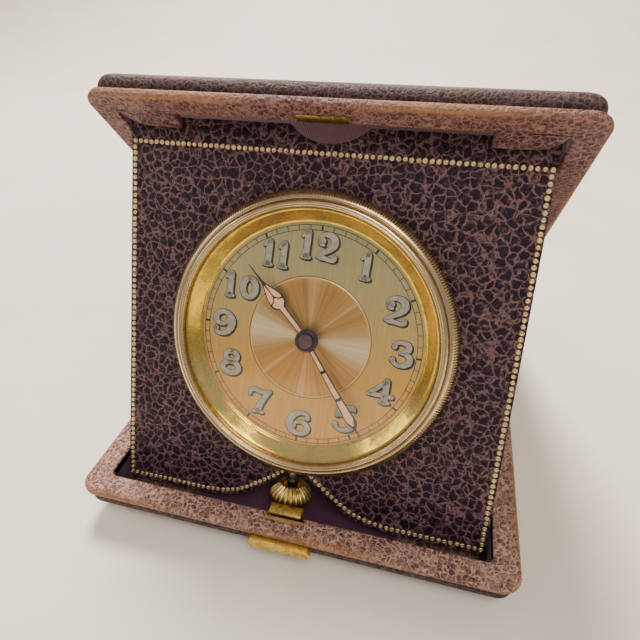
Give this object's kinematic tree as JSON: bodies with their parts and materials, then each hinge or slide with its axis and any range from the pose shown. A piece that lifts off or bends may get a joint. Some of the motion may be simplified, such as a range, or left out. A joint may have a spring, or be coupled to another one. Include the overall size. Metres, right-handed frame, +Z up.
{
  "type": "folding travel clock",
  "caption": "Square folding travel clock: two leather-covered trays hinged at the back prop up a leather panel that carries a round wind-up clock.",
  "frame": {"origin": "centre of the bounding box on the table plane", "axes": "+Z up, the clock faces -Y, +X to the right as the clock is read"},
  "size_m": [0.0818, 0.0898, 0.0759],
  "materials": {
    "case_wood": "plain beech board",
    "case_leather": "dark aubergine pebble grain leather, worn at the edges",
    "rim_leather": "the same leather worn to pinkish tan",
    "panel_leather": "dark aubergine pebble grain leather with gilt bead tooling",
    "silk": "mauve ribbed silk",
    "latch_brass": "worn polished brass",
    "spring_steel": "blued spring steel",
    "bezel_gilt": "rose gilt, milled edge",
    "case_brass": "turned brass",
    "glass": "domed clear crystal",
    "dial_gilt": "vertically brushed gilt dial with a turned centre",
    "screw_steel": "polished screws",
    "steel": "ground steel",
    "plate_brass": "grained gilt plates",
    "wheel_brass": "polished brass wheels",
    "crown_brass": "worn gilt, fluted",
    "hand_metal": "lacquered skeleton hands with luminous fill"
  },
  "bodies": {
    "base": {"base_board": "case_wood", "base_frame": "case_wood", "base_rim_leather": "rim_leather", "base_leather": "case_leather", "base_lining": "silk", "spine_leather": "case_leather", "panel_hinge_strip": "panel_leather", "latch_spring": "spring_steel"},
    "cover": {"cover_board": "case_wood", "cover_frame": "case_wood", "cover_rim_leather": "rim_leather", "cover_leather": "case_leather", "cover_lining": "silk", "cover_tabs": "rim_leather", "strike_plate": "latch_brass"},
    "panel": {"panel_board": "case_wood", "panel_leather": "panel_leather", "clock_case": "case_brass", "bezel": "bezel_gilt", "crystal": "glass", "rehaut": "bezel_gilt", "dial": "dial_gilt", "case_back": "case_brass", "clamp_ring": "case_brass", "clamp_screws": "screw_steel", "stem_tube": "steel", "main_plate": "plate_brass", "barrel_bridge": "plate_brass", "train_bridge": "plate_brass", "balance_cock": "plate_brass", "bridge_screws": "screw_steel", "click_spring": "spring_steel", "hairspring": "spring_steel"},
    "latch": {"latch_button": "latch_brass", "latch_catch": "latch_brass"},
    "barrel_group": {"barrel": "wheel_brass", "mainspring": "spring_steel"},
    "arbor_group": {"barrel_arbor": "steel", "ratchet_wheel": "steel"},
    "click_body": {"click": "steel"},
    "crown_wheel_body": {"crown_wheel": "steel"},
    "centre_group": {"centre_wheel": "wheel_brass"},
    "third_group": {"third_wheel": "wheel_brass"},
    "fourth_group": {"fourth_wheel": "wheel_brass"},
    "escape_group": {"escape_wheel": "steel"},
    "pallet_group": {"pallet_fork": "steel"},
    "balance_group": {"balance_wheel": "wheel_brass"},
    "regulator_body": {"regulator": "steel"},
    "minute_group": {"cannon_pinion": "steel", "minute_hand": "hand_metal"},
    "minute_wheel_body": {"minute_wheel": "wheel_brass"},
    "hour_group": {"hour_wheel": "wheel_brass", "hour_hand": "hand_metal"},
    "setting_wheel_body": {"setting_wheel": "wheel_brass"},
    "winding_body": {"winding_pinion": "steel"},
    "stem_group": {"stem": "steel", "crown": "crown_brass"},
    "clutch_body": {"clutch": "steel"},
    "lever_body": {"setting_lever": "steel"}
  },
  "joints": [
    {"name": "panel_fold", "type": "hinge", "parent": "base", "child": "panel", "pos_m": [0, -0.03281, 0.0074], "axis": [1, 0, 0], "range_deg": [-67, 0], "deforming": ["panel_hinge_strip"]},
    {"name": "cover_hinge", "type": "hinge", "parent": "base", "child": "cover", "pos_m": [0, 0.04112, 0.0086], "axis": [1, 0, 0], "range_deg": [-130.61, 0], "deforming": ["spine_leather"]},
    {"name": "latch_press", "type": "slide", "parent": "base", "child": "latch", "axis": [0, 1, 0], "range_m": [0, 0.0009], "stiffness_N_per_m": 400, "springref_m": -0.0006, "deforming": ["latch_spring"]},
    {"name": "crown_turn", "type": "hinge", "parent": "panel", "child": "winding_body", "pos_m": [-0.00059, -0.02741, 0.01962], "axis": [-0.0349, -0.3905, -0.9199], "continuous": true},
    {"name": "crown_pull", "type": "slide", "parent": "winding_body", "child": "stem_group", "axis": [-0.0349, -0.3905, -0.9199], "range_m": [0, 0.0008]},
    {"name": "clutch_slide", "type": "slide", "parent": "winding_body", "child": "clutch_body", "axis": [-0.0349, -0.3905, -0.9199], "range_m": [-0.0008, 0]},
    {"name": "lever_swing", "type": "hinge", "parent": "panel", "child": "lever_body", "pos_m": [0.00372, -0.0292, 0.01771], "axis": [0, -0.9205, 0.3907], "range_deg": [0, 12]},
    {"name": "crown_wheel_turn", "type": "hinge", "parent": "panel", "child": "crown_wheel_body", "pos_m": [-0.00043, -0.02447, 0.02347], "axis": [0, -0.9205, 0.3907], "continuous": true},
    {"name": "ratchet_turn", "type": "hinge", "parent": "panel", "child": "arbor_group", "pos_m": [-0.0078, -0.02205, 0.02918], "axis": [0, -0.9205, 0.3907], "continuous": true},
    {"name": "click_swing", "type": "hinge", "parent": "panel", "child": "click_body", "pos_m": [-0.01453, -0.02325, 0.02634], "axis": [0, -0.9205, 0.3907], "range_deg": [0, 6], "stiffness_Nm_per_rad": 0.0002},
    {"name": "fourth_turn", "type": "hinge", "parent": "panel", "child": "fourth_group", "pos_m": [0.00753, -0.01849, 0.03399], "axis": [0, -0.9205, 0.3907], "continuous": true},
    {"name": "third_turn", "type": "hinge", "parent": "panel", "child": "third_group", "pos_m": [0.00493, -0.01695, 0.03863], "axis": [0, -0.9205, 0.3907], "continuous": true},
    {"name": "centre_turn", "type": "hinge", "parent": "panel", "child": "centre_group", "pos_m": [0, -0.0193, 0.03463], "axis": [0, -0.9205, 0.3907], "continuous": true},
    {"name": "barrel_turn", "type": "hinge", "parent": "panel", "child": "barrel_group", "pos_m": [-0.0078, -0.0214, 0.02891], "axis": [0, -0.9205, 0.3907], "continuous": true, "deforming": ["mainspring"]},
    {"name": "escape_turn", "type": "hinge", "parent": "panel", "child": "escape_group", "pos_m": [0.00652, -0.0208, 0.02982], "axis": [0, -0.9205, 0.3907], "continuous": true},
    {"name": "pallet_rock", "type": "hinge", "parent": "panel", "child": "pallet_group", "pos_m": [0.00734, -0.02204, 0.02689], "axis": [0, -0.9205, 0.3907], "range_deg": [-5, 5]},
    {"name": "balance_swing", "type": "hinge", "parent": "panel", "child": "balance_group", "pos_m": [0.00855, -0.02342, 0.02236], "axis": [0, -0.9205, 0.3907], "range_deg": [-220, 220], "stiffness_Nm_per_rad": 0.0000019, "deforming": ["hairspring"]},
    {"name": "regulator_swing", "type": "hinge", "parent": "panel", "child": "regulator_body", "pos_m": [0.00855, -0.02223, 0.02185], "axis": [0, -0.9205, 0.3907], "range_deg": [-20, 20]},
    {"name": "hand_setting", "type": "hinge", "parent": "panel", "child": "minute_group", "pos_m": [0, -0.02206, 0.0358], "axis": [0, -0.9205, 0.3907], "continuous": true},
    {"name": "minute_wheel_turn", "type": "hinge", "parent": "panel", "child": "minute_wheel_body", "pos_m": [0.00053, -0.02309, 0.03211], "axis": [0, -0.9205, 0.3907], "continuous": true},
    {"name": "hour_turn", "type": "hinge", "parent": "panel", "child": "hour_group", "pos_m": [0, -0.02179, 0.03568], "axis": [0, -0.9205, 0.3907], "continuous": true},
    {"name": "setting_wheel_turn", "type": "hinge", "parent": "panel", "child": "setting_wheel_body", "pos_m": [-0.00033, -0.02525, 0.02701], "axis": [0, -0.9205, 0.3907], "continuous": true}
  ],
  "couplings": [
    {"joint": "cover_hinge", "follows": "panel_fold", "ratio": 1.9492},
    {"joint": "clutch_slide", "follows": "crown_pull", "ratio": -1},
    {"joint": "lever_swing", "follows": "crown_pull", "rad_per_m": 257.7},
    {"joint": "crown_wheel_turn", "follows": "crown_turn", "ratio": 0.5},
    {"joint": "ratchet_turn", "follows": "crown_turn", "ratio": -0.35},
    {"joint": "fourth_turn", "follows": "escape_turn", "ratio": -0.1},
    {"joint": "third_turn", "follows": "escape_turn", "ratio": 0.013333},
    {"joint": "centre_turn", "follows": "escape_turn", "ratio": -0.0016667},
    {"joint": "barrel_turn", "follows": "escape_turn", "ratio": 0.00020833},
    {"joint": "minute_wheel_turn", "follows": "hand_setting", "ratio": -0.33333},
    {"joint": "hour_turn", "follows": "hand_setting", "ratio": 0.083333},
    {"joint": "setting_wheel_turn", "follows": "hand_setting", "ratio": 0.35294}
  ]
}
